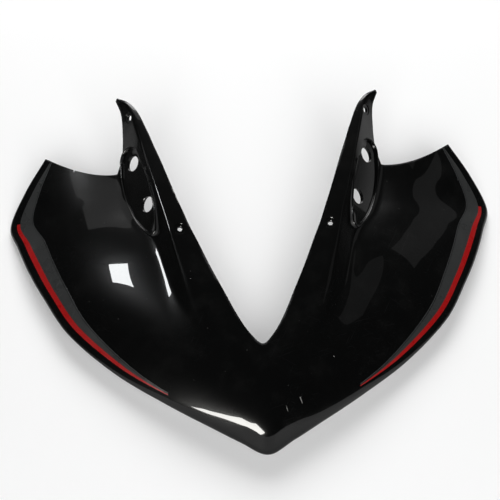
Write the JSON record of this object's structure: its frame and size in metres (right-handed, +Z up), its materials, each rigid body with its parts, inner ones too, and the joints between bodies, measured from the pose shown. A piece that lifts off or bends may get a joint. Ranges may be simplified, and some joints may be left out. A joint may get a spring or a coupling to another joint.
{
  "type": "motorcycle nose fairing",
  "caption": "V-shaped moulded nose cowl for a motorcycle fairing, with swept wings, raised horns, recessed mirror pads, screen screw holes and edge stripes.",
  "frame": {"origin": "Centre of the overall box in X and Y, at its lowest face, where the cowl rests on the nose and the wing tips.", "axes": "+X to the right of the cowl and the longest way across it, +Y back from the nose tip towards the horns, +Z up and the shortest way."},
  "size_m": [0.4752, 0.341, 0.0856],
  "materials": {
    "cowl_paint": "high gloss black paint",
    "grey_film": "gloss dark grey stripe film",
    "red_film": "gloss deep red stripe film"
  },
  "bodies": {
    "root": {"cowl": "cowl_paint", "grey_stripe_right": "grey_film", "grey_stripe_left": "grey_film", "red_stripe_right": "red_film", "red_stripe_left": "red_film"}
  },
  "joints": []
}
